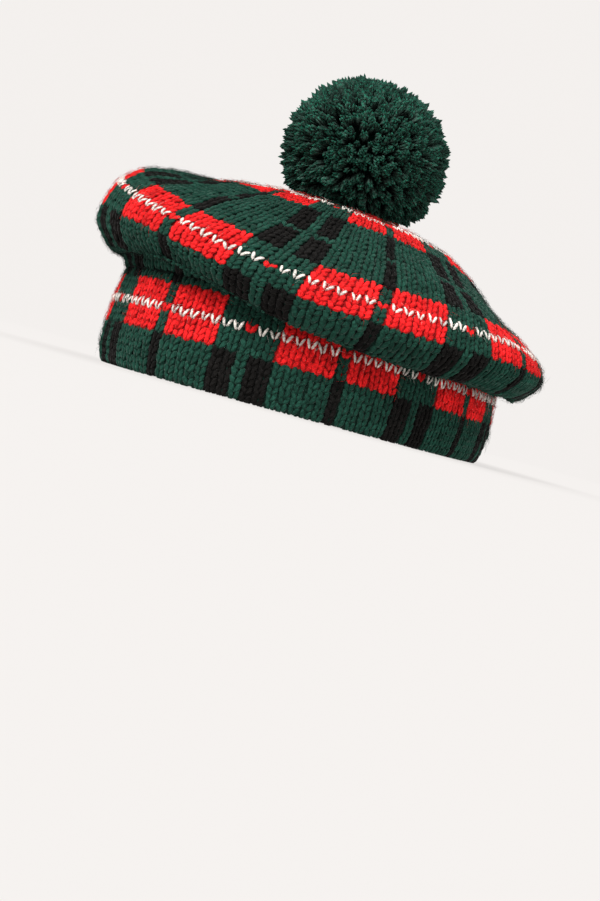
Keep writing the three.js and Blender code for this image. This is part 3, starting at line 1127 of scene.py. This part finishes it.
def pompomHeart(spec):
    bm = bmesh.new()
    bmesh.ops.create_icosphere(bm, subdivisions=spec["subdivisions"], radius=spec["radius"])
    rng = np.random.default_rng(spec["seed"])
    waves = rng.normal(0, spec["swellTurn"], (spec["swells"], 3))
    for v in bm.verts:
        swell = sum(math.sin(Vector(w).dot(v.co)) for w in waves) / len(waves)
        v.co *= 1 + spec["swellDepth"] * swell
        v.co.z = max(v.co.z * pompom["flatten"], spec["seatGap"] - pompom["seatDrop"])
        v.co = (v.co + Vector(pompomMiddle)) * mm + Vector(axisPlace)
    for f in bm.faces:
        f.smooth = True
    mesh = bpy.data.meshes.new("pompom_heart")
    bm.to_mesh(mesh)
    bm.free()
    mesh.materials.append(heartMaterial(spec))
    return addObject("pompom_heart", mesh)


heart = pompomHeart(heartShape)
print("pompom tied on")


# The knot that holds the pompom, inside the crown

knot = {
    "cord": 1.0,  # radius, mm
    "sides": 8,
    "loop": 2.6,
    "loopRate": 1.25,  # the loops close before the top
    "core": 0.2,
    "turns": 3,
    "points": 64,
}


def tieKnot(spec):
    low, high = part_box("pompom_tie")
    middle = (low + high) / 2
    rise = (high.z - low.z) / mm - 2 * spec["cord"]
    path = []
    for i in range(spec["points"]):
        t = i / (spec["points"] - 1)
        angle = t * spec["turns"] * 2 * math.pi
        out = spec["loop"] * math.sin(math.pi * min(1, t * spec["loopRate"])) + spec["core"]
        path.append((out * math.cos(angle), out * math.sin(angle), low.z / mm + spec["cord"] + t * rise))
    radii = [0] + [spec["cord"]] * (len(path) - 2) + [0]
    mesh = tubeMesh("pompom_knot", [(path, radii)], spec["sides"], margin=0)
    mesh.transform(Matrix.Translation((middle.x, middle.y, 0)) @ Matrix.Scale(mm, 4))
    tone = mesh.attributes.new("tone", "FLOAT", "POINT")
    tone.data.foreach_set("value", np.ones(len(mesh.vertices), np.float32))
    mesh.materials.append(pompomYarn)
    return addObject("pompom_knot", mesh)


tie = tieKnot(knot)


# Loose fibres that stand off the knit

fuzz = {
    "bandFibres": 9500,
    "crownFibres": 22000,
    "reach": 10,  # the length that a fibre is drawn at
    "curls": (2.5, 5.0, -3.5),  # how far the end of each kind curls over
    "bow": (0.25, 0.9),  # at its middle, the share of the curl and mm aside
    "endAside": -0.4,
    "sides": 3,
    "length": (0.9, 3.0),
    "thick": 0.06,
    "tilt": (18, 68),  # degrees from the surface's normal
    "scatter": (2, 1.5),  # mm across and along a stitch
    "tone": 1.1,
    "seed": 41,
}


def fibreShapes(spec):
    share, aside = spec["bow"]
    radii = [0, spec["thick"], 0]
    shapes = []
    for number, curl in enumerate(spec["curls"]):
        middle = (curl * share, aside, spec["reach"] / 2)
        path = [(0, 0, 0), middle, (curl, spec["endAside"], spec["reach"])]
        shapes.append(repeatShape(f"fibre{number}", [(path, radii)], spec["sides"]))
    return shapes


def fuzzCloud(spec, clouds, count, seed):
    rng = np.random.default_rng(seed)
    joined = {key: np.concatenate([c[key] for c in clouds]) for key in clouds[0]}
    across, along = spec["scatter"]
    pick = rng.choice(len(joined["place"]), count)
    turn, size, place = [], [], []
    for i in pick:
        facing = Quaternion(joined["turn"][i])
        spin = Quaternion((0, 0, 1), rng.uniform(0, 2 * math.pi))
        tilt = Quaternion((1, 0, 0), math.radians(rng.uniform(*spec["tilt"])))
        turn.append(tuple(facing @ spin @ tilt))
        size.append((1, 1, rng.uniform(*spec["length"]) / spec["reach"]))
        aside = Vector((rng.uniform(-across, across), rng.uniform(-along, along), 0.0))
        place.append(joined["place"][i] + np.array(facing @ aside))
    shape = rng.integers(0, len(spec["curls"]), count)
    return pointCloud(place, turn, size, joined["yarn"][pick], shape, [spec["tone"]] * count)


fibres = fibreShapes(fuzz)
outerBand = {key: value[len(value) // 2:] for key, value in bandCloud.items()}  # not the courses inside
bandFuzzCloud = fuzzCloud(fuzz, [outerBand], fuzz["bandFibres"], fuzz["seed"])
bandFuzz = layShapes("band_fuzz", bandFuzzCloud, fibres, yarns)
crownFuzzCloud = fuzzCloud(fuzz, [sideCloud, topCloud], fuzz["crownFibres"], fuzz["seed"] + 1)
crownFuzz = layShapes("crown_fuzz", crownFuzzCloud, fibres, yarns)


# Hand the pieces to the frame

for piece in (bandBack, bandStitches, bandFuzz, crownBack, crownSideStitches, crownTopStitches, crownFuzz):
    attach(piece, "root")
for piece in (heart, pompomEnds, tie):
    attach(piece, "root")
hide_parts("headband")
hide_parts("crown")
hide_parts("pompom")
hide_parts("pompom_tie")

print("pieces handed over")
